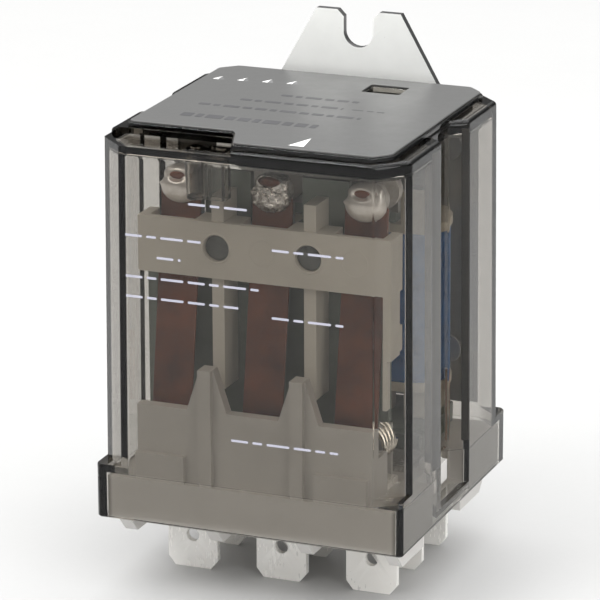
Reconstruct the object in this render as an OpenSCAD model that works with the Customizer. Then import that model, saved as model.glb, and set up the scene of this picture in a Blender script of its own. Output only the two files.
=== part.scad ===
// Plug-in power relay with three normally open poles, a clear clip-on cover, blade terminals
// and a rear mounting flange. Lengths are in millimetres. The origin is the centre of the
// footprint at the height of the blade tips; +Z is up and -Y is the front.

/* [Cover] */
// Width of the cover over its skirt
cover_w = 38.2; // [37.8:0.1:39]
// Depth of the cover over its skirt
cover_d = 36; // [35.8:0.1:36.6]
// Height of the roof above the bottom edge of the skirt
roof_h = 46; // [45.6:0.2:48]
// Height of the square skirt
skirt_h = 6.6; // [6.2:0.1:7.4]
// Width of the 45 degree faces on the upright corners
corner_cut = 3.3; // [2.6:0.1:3.6]
// Wall thickness of the upper body
wall = 1.2; // [1:0.1:1.3]
// Depth of the grip groove in each side
groove_depth = 2; // [1.4:0.1:2.1]

/* [Label and flange] */
// Thickness of the printed label plate
label_t = 0.25; // [0.2:0.05:0.4]
// Thickness of the steel flange plate
plate_t = 1; // [0.8:0.1:1.2]
// Height of the flange ear above the skirt's bottom edge
ear_top = 54.5; // [53.5:0.5:58]
// Width of the U slot
slot_w = 3.8; // [3.2:0.1:4.3]

/* [Terminals] */
// Width of a blade
blade_w = 6.35; // [6.3:0.05:6.4]
// Thickness of a blade
blade_t = 0.8; // [0.75:0.05:0.8]
// Distance from the skirt's bottom edge to the blade tips
blade_drop = 9.1; // [8:0.1:10]
// Diameter of the detent hole in a blade
blade_hole_d = 1.65; // [1.4:0.05:1.8]
// Distance between poles
pole_pitch = 11.4; // [11.3:0.05:11.5]

/* [Contacts] */
// Width of a contact leaf
leaf_w = 5; // [4.6:0.1:5.2]
// Thickness of a contact leaf
leaf_t = 0.3; // [0.25:0.05:0.35]
// Height of the contact centres above the skirt's bottom edge
contact_z = 39.4; // [39.2:0.1:39.6]
// Radius of the contact faces
contact_r = 2.2; // [1.8:0.1:2.3]

/* [Hidden] */
$fn = 48;
eps = 0.01;

// Cover
half_w = cover_w / 2;
half_d = cover_d / 2;
skirt_wall = 1;
roof_t = 1.8;
groove_mouth = 4.9;
groove_floor = 3.3;
groove_bottom = 1.5;
groove_wall_slope = 0.65;
draft = 0.985;
shelf_h = roof_h - 0.7;
shelf_y = -12.4;
shelf_x = -3.3;
shelf_front_x = -1.9;
notch_bevel = 0.9;
plateau_h = 0.6;
label_z = roof_h + plateau_h;
label_half_w = 17;
label_back = 16.7;
label_front = -17.3;
label_cut = 2;
window_x = [3.7, 8];
window_y = [10, 13.3];
peg_pos = [-7.3, -14.6];
pocket_pos = [-4.9, -13.8];
well_depth = 5.2;
well_top = roof_h - roof_t + 0.2;
latch_window_z = [2.4, 6.4];
latch_half_w = 2.8;
latch_z = [latch_window_z[0] + 0.1, latch_window_z[1] - 0.2];

// Flange plate
plate_y = half_d;
plate_half_w = 14.9;
plate_bottom = 7;
ear_base_z = roof_h + 0.2;
ear_base_half = 10.1;
ear_top_half = 5.4;
slot_z = ear_top - 2.6;
slot_mouth = 0.8;
rivet_x = 12;
rivet_rows = [14, 39.5];
rivet_r = 1.2;
rivet_head_r = 2.2;
rivet_inner_head = 0.4;
countersink_share = 0.7;
rivet_play = 0.05;

// Base
slab_top = 5;
slab_half_w = half_w - skirt_wall - 0.15;
slab_half_d = half_d - skirt_wall - 0.15;
front_wall_y = -15.8;
front_wall_t = 1.4;
front_wall_x = [-14.5, 14.7];
front_wall_top = 14;
post_top = 19.2;
post_x = 5.7;
post_foot_half = 2.5;
post_head_half = 0.8;
relief_y = -16.6;
left_step_x = [-14.5, -8.4];
right_step_x = [7.8, 14.3];
step_top = 8.3;
rib_x = [16.7, 5.7];
rib_t = 1.6;
rib_drop = 2.9;
block_y = [-14.5, -11.5];
block_top = 10.4;
fit_gap = 0.1;

// Terminals, in rows from the front
row_y = [-7.1, 1.5, 10.1];
poles = [-1, 0, 1];
hole_up = 4.1;
tip_cut = 1.1;
coil_terminal_top = 9.4;
arm_front_y = -3.6;
arm_x = [-2.6, 0.2];
arm_head_x = 1.6;
arm_head_z = 36.6;
stub_half_w = 2.8;
arm_top = contact_z + 2.6;

// Leaves and contacts
leaf_bottom = 10.9;
leaf_crease = 36.9;
leaf_foot_y = -13.1;
leaf_tip_y = -9.3;
foot_bottom = 6;
shank_r = 1;
moving_face_y = -7.6;
fixed_face_y = -4.85;
bowl_r = 2.4;
bowl_depth = 1.5;

// Carrier and armature
bar_y = [-12.6, -8.9];
bar_z = [29.2, 35.9];
bar_half_w = 15.5;
boss_r = 2.3;
boss_z = 32.8;
recess_r = 1.6;
recess_depth = 1.2;
fin_t = 1.5;
fin_y = [-12, -8];
fin_z = [15.7, 39];
slot_play = 0.35;
side_fin_x = [14.5, 15.5];
side_fin_rear = -9.7;
side_fin_z = [15.6, 21.6];
side_fin_step = 0.5;
side_fin_t = 1.1;
tail_x = [9.4, 12.4];
tail_y = [-9.7, -8.9];
tail_z = [8.2, 25];
tail_arm_z = 22;
spring_peg_r = 0.7;
spring_peg_len = 0.8;
stud_r = 0.9;
stud_cone_h = 0.5;
notch_relief = [-11.8, 1];
armature_x = [-16.3, 13.5];
armature_y = [-8, -7];
armature_z = [8.3, 35];
crest_x = [3.2, 8.9];
crest_top = 41;
foot_x = [-7.8, 8.4];
foot_t = 1.2;
arm_room = 0.7;
spring_room = [8.6, 12.6];
hinge_y = 3.5;
hinge_z = 7.5;
bead_r = 0.6;

// Return spring
spring_x = 11.1;
spring_z = 9.7;
spring_y = [-8.4, -4.65];
spring_post_y = [-4.6, -4];
spring_post_half = 1.5;
spring_r = 2.15;
wire_r = 0.35;
spring_turns = 3.5;
wire_sides = 8;
rings_per_turn = 20;

// Magnet
coil_x = 3;
coil_y = 11.2;
coil_half = [11, 4.8];
coil_round = 4.2;
coil_z = [12.4, 31];
bobbin_flange = 1.1;
screen_x = [9.6, 12.3];
screen_y = [6.5, 7.4];
screen_top = 36.2;
core_r = 3.4;
core_stub_r = 2;
tube_wall = 0.7;
yoke_z = [slab_top + 0.1, hinge_z];
yoke_y = [2.3, 16];
yoke_x = [-8, 13];
pole_z = [32.3, 34.3];
pole_y = [6.25, 15];
pole_x = [-6, 9];
tongue_x = [0.9, 8.1];
tongue_front = -4.7;
lead_r = 0.3;
lead_x = [-9.3, 14.1];
lead_step = [0.75, 1.2];

// ---- Helpers ----

// Moves a part from the skirt frame to the part frame.
module placed() {
    translate([0, -plate_t / 2, blade_drop]) children();
}

// A box between two corners.
module span(low, high) {
    translate(low) cube(high - low);
}

// A rod along Y between two depths.
module rod_y(x, z, y0, y1, r) {
    translate([x, y0, z]) rotate([-90, 0, 0]) cylinder(h = y1 - y0, r = r);
}

// A flat outline in X and Z, thickened along Y.
module upright(y0, y1) {
    translate([0, y1, 0]) rotate([90, 0, 0]) linear_extrude(y1 - y0) children();
}

// A flat outline in Y and Z, thickened along X.
module side_profile(x0, x1) {
    translate([x0, 0, 0]) rotate([90, 0, 90]) linear_extrude(x1 - x0) children();
}

// ---- Cover, label and flange ----

// Half of a plan outline: the right side, with its cut corners and grip groove, moved in by t.
function right_side(cut, t) =
    let (x = half_w - t, y = half_d - t, c = max(cut - 0.586 * t, 0.01),
         floor_x = half_w - groove_depth - t, mouth = groove_mouth + groove_wall_slope * t,
         floor = groove_floor + groove_wall_slope * t)
    [[x - c, -y], [x, -y + c], [x, -mouth], [floor_x, -floor],
     [floor_x, floor], [x, mouth], [x, y - c], [x - c, y]];

// The full plan outline.
module plan(cut, t) {
    right = right_side(cut, t);
    left = [for (i = [len(right) - 1 : -1 : 0]) [-right[i][0], right[i][1]]];
    polygon(concat(right, left));
}

module plain_plan(cut, t) {
    x = half_w - t;
    y = half_d - t;
    polygon([[x - cut, -y], [x, -y + cut], [x, y - cut], [x - cut, y],
             [-x + cut, y], [-x, y - cut], [-x, -y + cut], [-x + cut, -y]]);
}

// The raised part of the roof that carries the label.
module label_outline() {
    difference() {
        polygon([[label_half_w - label_cut, label_front], [label_half_w, label_front + label_cut],
                 [label_half_w, label_back - label_cut], [label_half_w - label_cut, label_back],
                 [-label_half_w + label_cut, label_back], [-label_half_w, label_back - label_cut],
                 [-label_half_w, shelf_y], [shelf_x - 0.6, shelf_y],
                 [shelf_x, shelf_y - notch_bevel], [shelf_front_x, label_front]]);
        translate([window_x[0], window_y[0]])
            square([window_x[1] - window_x[0], window_y[1] - window_y[0]]);
    }
}

module cover() {
    color([0.42, 0.40, 0.37, 0.45]) placed() difference() {
        union() {
            translate([0, 0, groove_bottom])
                linear_extrude(skirt_h - groove_bottom) plan(0.4, 0);
            linear_extrude(groove_bottom) plain_plan(0.4, 0);
            translate([0, 0, skirt_h - eps])
                linear_extrude(roof_h - skirt_h + eps, scale = draft) plan(corner_cut, 0);
            translate([0, 0, roof_h - eps]) linear_extrude(plateau_h + eps) label_outline();
        }
        // Room for the base slab and for the works
        translate([0, 0, -eps])
            linear_extrude(groove_bottom - skirt_wall) plain_plan(0.4, skirt_wall);
        translate([0, 0, -2 * eps])
            linear_extrude(skirt_h - wall + eps) plan(0.4, skirt_wall);
        translate([0, 0, skirt_h - wall - eps])
            linear_extrude(roof_h - roof_t - skirt_h + wall, scale = draft) plan(corner_cut, wall);
        // Lower shelf at the front left of the roof
        translate([0, 0, shelf_h]) linear_extrude(roof_h + eps - shelf_h)
            polygon([[-half_w - 1, -half_d - 1], [shelf_front_x + 0.6, -half_d - 1],
                     [shelf_front_x, label_front], [shelf_x, shelf_y - notch_bevel],
                     [shelf_x - 0.6, shelf_y], [-half_w - 1, shelf_y]]);
        // Sight window, peg hole and pocket
        span([window_x[0], window_y[0], roof_h - 1], [window_x[1], window_y[1], label_z + 1]);
        translate([peg_pos[0], peg_pos[1], shelf_h - 1.4]) cylinder(h = 3, r = 0.7);
        // Latch windows at the foot of the grooves
        for (side = [-1, 1])
            translate([side * (half_w - groove_depth - wall / 2), 0, latch_window_z[0]])
                translate([-wall, -latch_half_w, 0])
                    cube([2 * wall, 2 * latch_half_w, latch_window_z[1] - latch_window_z[0]]);
        // Rivet holes for the flange plate
        for (side = [-1, 1], z = rivet_rows)
            rod_y(side * rivet_x, z, half_d - 3, half_d + 1, rivet_r + 0.05);
    }
    // Tube and pocket that hang under the shelf
    color([0.42, 0.40, 0.37, 0.45]) placed() {
        translate([peg_pos[0], peg_pos[1], well_top - well_depth]) difference() {
            cylinder(h = well_depth, r1 = 1, r2 = 1.25);
            translate([0, 0, 0.6]) cylinder(h = well_depth, r = 0.7);
        }
        translate([pocket_pos[0] - 1.3, pocket_pos[1] - 1, well_top - well_depth])
            difference() {
                cube([2.6, 2, well_depth]);
                translate([0.5, 0.5, -eps]) cube([1.6, 1, well_depth - 0.3]);
            }
    }
}

module label_plate() {
    color("silver") placed() translate([0, 0, label_z + eps]) linear_extrude(label_t)
        label_outline();
}

module flange_plate() {
    color([0.86, 0.86, 0.84]) placed() difference() {
        upright(plate_y + eps, plate_y + plate_t) difference() {
            polygon([[-plate_half_w, plate_bottom], [plate_half_w, plate_bottom],
                     [plate_half_w, roof_h - 3], [plate_half_w - 2.5, roof_h - 0.5],
                     [ear_base_half, ear_base_z], [ear_top_half, ear_top],
                     [-ear_top_half, ear_top], [-ear_base_half, ear_base_z],
                     [-plate_half_w + 2.5, roof_h - 0.5], [-plate_half_w, roof_h - 3]]);
            translate([-slot_w / 2, slot_z]) square([slot_w, ear_top]);
            translate([0, ear_top - slot_mouth]) polygon([[-slot_w / 2 - eps, 0],
                [slot_w / 2 + eps, 0], [slot_w / 2 + slot_mouth, slot_mouth + eps],
                [-slot_w / 2 - slot_mouth, slot_mouth + eps]]);
        }
        rod_y(0, slot_z, plate_y - 1, plate_y + plate_t + 1, slot_w / 2);
        for (side = [-1, 1], z = rivet_rows) {
            rod_y(side * rivet_x, z, plate_y - 1, plate_y + 2, rivet_r + 0.05);
            translate([side * rivet_x, plate_y + plate_t + eps, z]) rotate([90, 0, 0])
                cylinder(h = plate_t * countersink_share, r1 = rivet_head_r + 0.05,
                         r2 = rivet_r + 0.05);
        }
    }
}

// Depth of the rear wall's inner face at a height, with the cover's draft.
function rear_inner_y(z) =
    (half_d - wall) * (1 - (1 - draft) * (z - skirt_h + wall) / (roof_h - roof_t - skirt_h + wall));

module flange_rivets() {
    color("gainsboro") placed() for (side = [-1, 1], z = rivet_rows)
        let (grip = plate_y + plate_t - rear_inner_y(z) + rivet_play)
        translate([side * rivet_x, plate_y + plate_t, z]) rotate([90, 0, 0]) {
            cylinder(h = plate_t * countersink_share, r1 = rivet_head_r, r2 = rivet_r);
            cylinder(h = grip + rivet_inner_head, r = rivet_r);
            translate([0, 0, grip]) cylinder(h = rivet_inner_head, r = rivet_head_r - 0.4);
        }
}

// ---- Base ----

module front_wall_outline() {
    polygon([[front_wall_x[0], slab_top - eps], [front_wall_x[1], slab_top - eps],
             [front_wall_x[1], front_wall_top],
             [post_x + post_foot_half, front_wall_top], [post_x + post_head_half, post_top],
             [post_x - post_head_half, post_top], [post_x - post_foot_half, front_wall_top],
             [-post_x + post_foot_half, front_wall_top], [-post_x + post_head_half, post_top],
             [-post_x - post_head_half, post_top], [-post_x - post_foot_half, front_wall_top],
             [front_wall_x[0], front_wall_top]]);
}

module base_rib(x) {
    side_profile(x - rib_t / 2, x + rib_t / 2)
        polygon([[-slab_half_d + 0.6, eps], [-slab_half_d + 3.4, -rib_drop],
                 [slab_half_d - 3.4, -rib_drop], [slab_half_d - 0.6, eps]]);
}

// Slots that the blades and leaf feet pass through.
module blade_slots() {
    for (i = poles, row = [0, 1])
        span([i * pole_pitch - blade_w / 2 - fit_gap, row_y[row] - blade_t / 2 - fit_gap, -5],
             [i * pole_pitch + blade_w / 2 + fit_gap, row_y[row] + blade_t / 2 + fit_gap, 20]);
    for (i = [-1, 1])
        span([i * pole_pitch - blade_w / 2 - fit_gap, row_y[2] - blade_t / 2 - fit_gap, -5],
             [i * pole_pitch + blade_w / 2 + fit_gap, row_y[2] + blade_t / 2 + fit_gap, 20]);
    for (i = poles)
        span([i * pole_pitch - stub_half_w - fit_gap, leaf_foot_y - fit_gap, slab_top],
             [i * pole_pitch + stub_half_w + fit_gap, leaf_foot_y + leaf_t + blade_t + fit_gap,
              20]);
    for (i = poles)
        span([i * pole_pitch - stub_half_w - fit_gap, leaf_foot_y - fit_gap, slab_top],
             [i * pole_pitch + stub_half_w + fit_gap, row_y[0], slab_top + blade_t + fit_gap]);
}

module base() {
    color([0.72, 0.71, 0.69]) placed() difference() {
        union() {
            span([-slab_half_w, -slab_half_d, 0], [slab_half_w, slab_half_d, slab_top]);
            upright(front_wall_y, front_wall_y + front_wall_t) front_wall_outline();
            // Raised ribs on the posts and raised blocks at the ends of the front wall
            for (side = [-1, 1])
                span([side * post_x - post_head_half, relief_y, slab_top - eps],
                     [side * post_x + post_head_half, front_wall_y + eps, post_top]);
            for (x = [left_step_x, right_step_x])
                span([x[0], relief_y, slab_top - eps], [x[1], front_wall_y + eps, step_top]);
            // Block that holds the common terminals and leaf feet
            span([front_wall_x[0], block_y[0], slab_top - eps],
                 [front_wall_x[1], block_y[1], block_top]);
            // Post and peg that hold the rear end of the return spring
            span([spring_x - spring_post_half, spring_post_y[0], slab_top - eps],
                 [spring_x + spring_post_half, spring_post_y[1], spring_z + spring_post_half]);
            rod_y(spring_x, spring_z, spring_post_y[0] - spring_peg_len,
                  spring_post_y[0] + eps, spring_peg_r);
            // Latch tongues for the cover
            for (side = [-1, 1])
                translate([side * 15.2, 0, 0]) mirror([side < 0 ? 1 : 0, 0, 0])
                    upright(-latch_half_w + 0.3, latch_half_w - 0.3)
                        polygon([[-0.5, latch_z[0]], [0.4, latch_z[0]], [1.6, latch_z[0] + 0.6],
                                 [1.6, latch_z[1] - 1.4], [0.4, latch_z[1]],
                                 [-0.5, latch_z[1]]]);
            for (side = [-1, 1], x = rib_x) base_rib(side * x);
        }
        // Clearance for the grip grooves of the cover
        for (side = [-1, 1])
            translate([side * 18.3, 0, 0]) difference() {
                translate([-2.8, -6.4, -rib_drop - 1]) cube([5.6, 12.8, 20]);
                translate([-side * 2.8 - 1.7, -latch_half_w + 0.3, latch_z[0]])
                    cube([3.4, 2 * latch_half_w - 0.6, latch_z[1] - latch_z[0]]);
            }
        blade_slots();
    }
}

// ---- Terminals ----

// A blade from its tip up to a height, with its tip corners cut and its detent hole.
module blade(x, y, top) {
    difference() {
        upright(y - blade_t / 2, y + blade_t / 2)
            polygon([[x - blade_w / 2, top], [x - blade_w / 2, -blade_drop + tip_cut],
                     [x - blade_w / 2 + tip_cut * 0.8, -blade_drop],
                     [x + blade_w / 2 - tip_cut * 0.8, -blade_drop],
                     [x + blade_w / 2, -blade_drop + tip_cut], [x + blade_w / 2, top]]);
        rod_y(x, -blade_drop + hole_up, y - 1, y + 1, blade_hole_d / 2);
    }
}

// The front-row blade cranks forward over the slab to a stub that carries a leaf's foot.
module common_terminal(i) {
    x = i * pole_pitch;
    stub_y = leaf_foot_y + leaf_t;
    color([0.88, 0.86, 0.82]) placed() {
        blade(x, row_y[0], slab_top + eps);
        span([x - stub_half_w, stub_y, slab_top],
             [x + stub_half_w, row_y[0] + blade_t / 2, slab_top + blade_t]);
        span([x - stub_half_w, stub_y, slab_top], [x + stub_half_w, stub_y + blade_t,
             block_top - 0.2]);
    }
}

// The second-row blade cranks forward over the slab and runs up as an arm to its contact.
module fixed_terminal(i) {
    x = i * pole_pitch;
    y = row_y[1];
    color([0.88, 0.86, 0.82]) placed() {
        blade(x, y, slab_top + eps);
        difference() {
            union() {
                span([x + arm_x[0], arm_front_y, slab_top],
                     [x - arm_x[0], y + blade_t / 2, slab_top + blade_t]);
                span([x + arm_x[0], arm_front_y, slab_top],
                     [x + arm_x[1], arm_front_y + blade_t, arm_top]);
                span([x + arm_x[0], arm_front_y, arm_head_z],
                     [x + arm_head_x, arm_front_y + blade_t, arm_top]);
            }
            rod_y(x, contact_z, arm_front_y - 1, arm_front_y + 2, shank_r + 0.02);
        }
    }
}

module coil_terminal(side) {
    color([0.88, 0.86, 0.82]) placed()
        blade(side * pole_pitch, row_y[2], side > 0 ? slab_top : coil_terminal_top);
}

// ---- Contacts ----

module leaf_foot(i) {
    color([0.45, 0.29, 0.24]) placed()
        span([i * pole_pitch - leaf_w / 2, leaf_foot_y, foot_bottom],
             [i * pole_pitch + leaf_w / 2, leaf_foot_y + leaf_t, leaf_bottom - 0.3]);
}

// Depth of a leaf's front face at a height below its crease.
function leaf_y(z) =
    leaf_foot_y + (leaf_tip_y - leaf_foot_y) * (z - leaf_bottom) / (leaf_crease - leaf_bottom);

// A leaf leans back from its foot to a crease, and stands upright round its contact's hole.
module contact_leaf(i) {
    x = i * pole_pitch;
    color([0.45, 0.29, 0.24]) placed() difference() {
        intersection() {
            side_profile(x - leaf_w / 2, x + leaf_w / 2)
                polygon([[leaf_foot_y, leaf_bottom], [leaf_foot_y + leaf_t, leaf_bottom],
                         [leaf_tip_y + leaf_t, leaf_crease], [leaf_tip_y + leaf_t, arm_top + 1],
                         [leaf_tip_y, arm_top + 1], [leaf_tip_y, leaf_crease]]);
            union() {
                rod_y(x, contact_z, leaf_foot_y - 1, leaf_tip_y + 2, leaf_w / 2);
                span([x - leaf_w, leaf_foot_y - 1, leaf_bottom - 1],
                     [x + leaf_w, leaf_tip_y + 2, contact_z]);
            }
        }
        rod_y(x, contact_z, leaf_tip_y - 1, leaf_tip_y + 2, shank_r + 0.02);
    }
}

// A moving contact: bowl-shaped head in front of the leaf and a round face behind it.
module moving_contact(i) {
    color([0.82, 0.80, 0.76]) placed() translate([i * pole_pitch, 0, contact_z]) {
        rod_y(0, 0, leaf_tip_y - eps, moving_face_y, shank_r);
        rod_y(0, 0, leaf_tip_y + leaf_t, moving_face_y, contact_r);
        translate([0, leaf_tip_y, 0]) rotate([90, 0, 0]) rotate_extrude()
            polygon([[0, 0], [bowl_r, 0], [bowl_r * 0.94, bowl_depth * 0.5],
                     [bowl_r * 0.72, bowl_depth * 0.9], [bowl_r * 0.5, bowl_depth],
                     [0, bowl_depth]]);
    }
}

module fixed_contact(i) {
    color([0.82, 0.80, 0.76]) placed() translate([i * pole_pitch, 0, contact_z]) {
        rod_y(0, 0, fixed_face_y, arm_front_y, contact_r);
        rod_y(0, 0, fixed_face_y, arm_front_y + blade_t + 0.3, shank_r);
        rod_y(0, 0, arm_front_y + blade_t, arm_front_y + blade_t + 0.5, shank_r + 0.5);
    }
}

// ---- Carrier, armature and return spring ----

module carrier() {
    color([0.80, 0.79, 0.76]) placed() difference() {
        union() {
            span([-bar_half_w, bar_y[0], bar_z[0]], [bar_half_w, bar_y[1], bar_z[1]]);
            for (side = [-1, 1]) {
                rod_y(side * post_x, boss_z, bar_y[1] - eps, armature_y[0], boss_r);
                span([side * post_x - fin_t / 2, fin_y[0], fin_z[0]],
                     [side * post_x + fin_t / 2, fin_y[1], fin_z[1]]);
            }
            // Outer fin at the right, stepped at its lower end
            span([side_fin_x[0], bar_y[0], side_fin_z[1]],
                 [side_fin_x[1], side_fin_rear, bar_z[0] + 1]);
            span([side_fin_x[0], bar_y[0], side_fin_z[0]],
                 [side_fin_x[1] - side_fin_step, bar_y[0] + side_fin_t, side_fin_z[1] + 1]);
            // Arm and tail that the return spring pushes on
            span([tail_x[0], tail_y[0], tail_arm_z], [side_fin_x[1], tail_y[1], tail_z[1]]);
            span([tail_x[0], tail_y[0], tail_z[0]], [tail_x[1], tail_y[1], tail_z[1]]);
            rod_y(spring_x, spring_z, tail_y[1] - eps, tail_y[1] + spring_peg_len,
                  spring_peg_r);
        }
        // Notches that the leaves stand in, open at the rear
        for (i = poles)
            side_profile(i * pole_pitch - leaf_w / 2 - slot_play,
                         i * pole_pitch + leaf_w / 2 + slot_play)
                polygon([[leaf_y(bar_z[0] - 1) - slot_play, bar_z[0] - 1],
                         [bar_y[1] + 0.5, bar_z[0] - 1], [bar_y[1] + 0.5, bar_z[1] + 1],
                         [notch_relief[0], bar_z[1] + 1], [notch_relief[0], bar_z[1]],
                         [leaf_y(bar_z[1] - notch_relief[1]) - slot_play,
                          bar_z[1] - notch_relief[1]]]);
        for (side = [-1, 1]) {
            rod_y(side * post_x, boss_z, bar_y[0] - 1, bar_y[0] + recess_depth, recess_r);
            rod_y(side * post_x, boss_z, bar_y[0] - 1, armature_y[0] + 1, stud_r + 0.02);
        }
    }
}

// Countersunk end of a stud in the armature's rear face, grown by a gap.
module stud_cone(x, gap) {
    translate([x, armature_y[1] + gap / 2, boss_z]) rotate([90, 0, 0])
        cylinder(h = stud_cone_h, r1 = stud_r + stud_cone_h + gap, r2 = stud_r + gap);
}

module carrier_studs() {
    color([0.35, 0.35, 0.34]) placed() for (side = [-1, 1]) {
        rod_y(side * post_x, boss_z, bar_y[0] + recess_depth, armature_y[1], stud_r);
        rod_y(side * post_x, boss_z, bar_y[0] + 0.55, bar_y[0] + recess_depth, recess_r - 0.1);
        stud_cone(side * post_x, 0);
    }
}

module armature() {
    color([0.52, 0.53, 0.51]) placed() difference() {
        union() {
            // Upright plate behind the leaves, with crests between the contacts
            span([armature_x[0], armature_y[0], armature_z[0]],
                 [armature_x[1], armature_y[1], armature_z[1]]);
            for (x = [-crest_x[1], crest_x[0]])
                span([x, armature_y[0], armature_z[1] - eps],
                     [x + crest_x[1] - crest_x[0], armature_y[1], crest_top]);
            // Foot that runs back to the rounded edge it rocks on
            span([foot_x[0], armature_y[0], armature_z[0]],
                 [foot_x[1], hinge_y + bead_r, armature_z[0] + foot_t]);
            span([foot_x[0], hinge_y - bead_r, hinge_z],
                 [foot_x[1], hinge_y + bead_r, armature_z[0] + eps]);
            translate([foot_x[0], hinge_y, hinge_z]) rotate([0, 90, 0])
                cylinder(h = foot_x[1] - foot_x[0], r = bead_r);
        }
        // Room for the return spring and for the middle fixed terminal's arm
        span([spring_room[0], armature_y[0] - 1, hinge_z],
             [armature_x[1] + 1, armature_y[1] + 1, spring_room[1]]);
        span([arm_x[0] - arm_room, arm_front_y - arm_room, hinge_z],
             [arm_x[1] + arm_room, arm_front_y + blade_t + arm_room, spring_room[1]]);
        for (side = [-1, 1]) {
            rod_y(side * post_x, boss_z, armature_y[0] - 1, armature_y[1] + 1, stud_r + 0.02);
            stud_cone(side * post_x, 0.04);
        }
    }
}

// Points of the spring's wire: a helix about a line along Y, with closed end turns.
function coil_point(k, rings) =
    let (f = k / rings, angle = 360 * spring_turns * f,
         y = spring_y[0] + wire_r + (spring_y[1] - spring_y[0] - 2 * wire_r) * f)
    [spring_x + spring_r * cos(angle), y, spring_z + spring_r * sin(angle)];

function ring_points(k, rings) =
    let (c = coil_point(k, rings), angle = 360 * spring_turns * k / rings)
    [for (s = [0 : wire_sides - 1])
        let (a = 360 * s / wire_sides)
        [c[0] + wire_r * cos(a) * cos(angle), c[1] + wire_r * sin(a),
         c[2] + wire_r * cos(a) * sin(angle)]];

module return_spring() {
    rings = spring_turns * rings_per_turn;
    points = [for (k = [0 : rings]) each ring_points(k, rings)];
    sides = [for (k = [0 : rings - 1], s = [0 : wire_sides - 1])
        let (next = (s + 1) % wire_sides)
        [k * wire_sides + s, (k + 1) * wire_sides + s, (k + 1) * wire_sides + next,
         k * wire_sides + next]];
    ends = [[for (s = [0 : wire_sides - 1]) s],
            [for (s = [wire_sides - 1 : -1 : 0]) rings * wire_sides + s]];
    color("gainsboro") placed() polyhedron(points = points, faces = concat(sides, ends));
}

// ---- Magnet ----

// A rounded rectangle about the coil's axis, grown by d.
module coil_plan(d) {
    r = coil_round + d;
    x = coil_half[0] + d - r;
    y = coil_half[1] + d - r;
    translate([coil_x, coil_y]) {
        square([2 * x, 2 * (y + r)], center = true);
        square([2 * (x + r), 2 * y], center = true);
        for (sx = [-1, 1], sy = [-1, 1]) translate([sx * x, sy * y]) circle(r);
    }
}

module yoke() {
    color([0.50, 0.51, 0.50]) placed() difference() {
        span([yoke_x[0], yoke_y[0], yoke_z[0]], [yoke_x[1], yoke_y[1], yoke_z[1]]);
        translate([yoke_x[0] - 3, hinge_y, hinge_z]) rotate([0, 90, 0])
            cylinder(h = 40, r = bead_r + 0.06);
        translate([coil_x, coil_y, 0]) cylinder(h = 20, r = core_stub_r + 0.02);
        // Room for the coil terminal at the left
        span([-pole_pitch - 5, row_y[2] - 1, 0], [-7.2, row_y[2] + 1, 20]);
    }
}

module core() {
    color([0.56, 0.57, 0.56]) placed() translate([coil_x, coil_y, 0]) {
        translate([0, 0, yoke_z[0]]) cylinder(h = pole_z[1] - yoke_z[0], r = core_stub_r);
        translate([0, 0, yoke_z[1]]) cylinder(h = pole_z[0] - yoke_z[1], r = core_r);
    }
}

module pole_piece() {
    color([0.56, 0.57, 0.56]) placed() difference() {
        union() {
            span([pole_x[0], pole_y[0], pole_z[0]], [pole_x[1], pole_y[1], pole_z[1]]);
            // Tongue that reaches between two contact arms to the armature
            span([tongue_x[0], tongue_front, pole_z[0]],
                 [tongue_x[1], pole_y[0] + eps, pole_z[1]]);
        }
        translate([coil_x, coil_y, 0]) cylinder(h = 60, r = core_stub_r + 0.02);
    }
}

module bobbin() {
    color([0.86, 0.84, 0.78]) placed() difference() {
        union() {
            translate([coil_x, coil_y, yoke_z[1] + 0.02])
                cylinder(h = pole_z[0] - yoke_z[1] - 0.04, r = core_r + tube_wall);
            for (z = [coil_z[0] - bobbin_flange, coil_z[1]])
                translate([0, 0, z]) linear_extrude(bobbin_flange) coil_plan(0);
            // Legs under the lower flange
            for (x = [coil_x - 9, coil_x + 8])
                span([x - 1, coil_y - 3, yoke_z[1] + 0.02],
                     [x + 1, coil_y + 3, coil_z[0] - bobbin_flange + eps]);
            // Screen that stands in front of the upper flange at the right
            span([screen_x[0], screen_y[0], coil_z[1]], [screen_x[1], screen_y[1], screen_top]);
        }
        translate([coil_x, coil_y, 0]) cylinder(h = 60, r = core_r + 0.03);
    }
}

module winding() {
    color([0.62, 0.36, 0.20]) placed() translate([0, 0, coil_z[0] + 0.02]) difference() {
        linear_extrude(coil_z[1] - coil_z[0] - 0.04) coil_plan(-0.55);
        translate([coil_x, coil_y, -1]) cylinder(h = 40, r = core_r + tube_wall + 0.02);
    }
}

module coil_tape() {
    color([0.16, 0.38, 0.62]) placed() translate([0, 0, coil_z[0] + 0.02]) difference() {
        linear_extrude(coil_z[1] - coil_z[0] - 0.04) coil_plan(-0.2);
        translate([0, 0, -1]) linear_extrude(40) coil_plan(-0.53);
    }
}

// A coil lead: an upright wire from a coil terminal to the lower flange.
module coil_lead(side) {
    x = side > 0 ? lead_x[1] : lead_x[0];
    y = row_y[2] - (side > 0 ? lead_step[1] : lead_step[0]);
    color([0.70, 0.40, 0.22]) placed() union() {
        translate([x, y, slab_top + 0.02]) cylinder(h = coil_z[0] - slab_top + 1.5, r = lead_r);
    }
}

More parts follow.
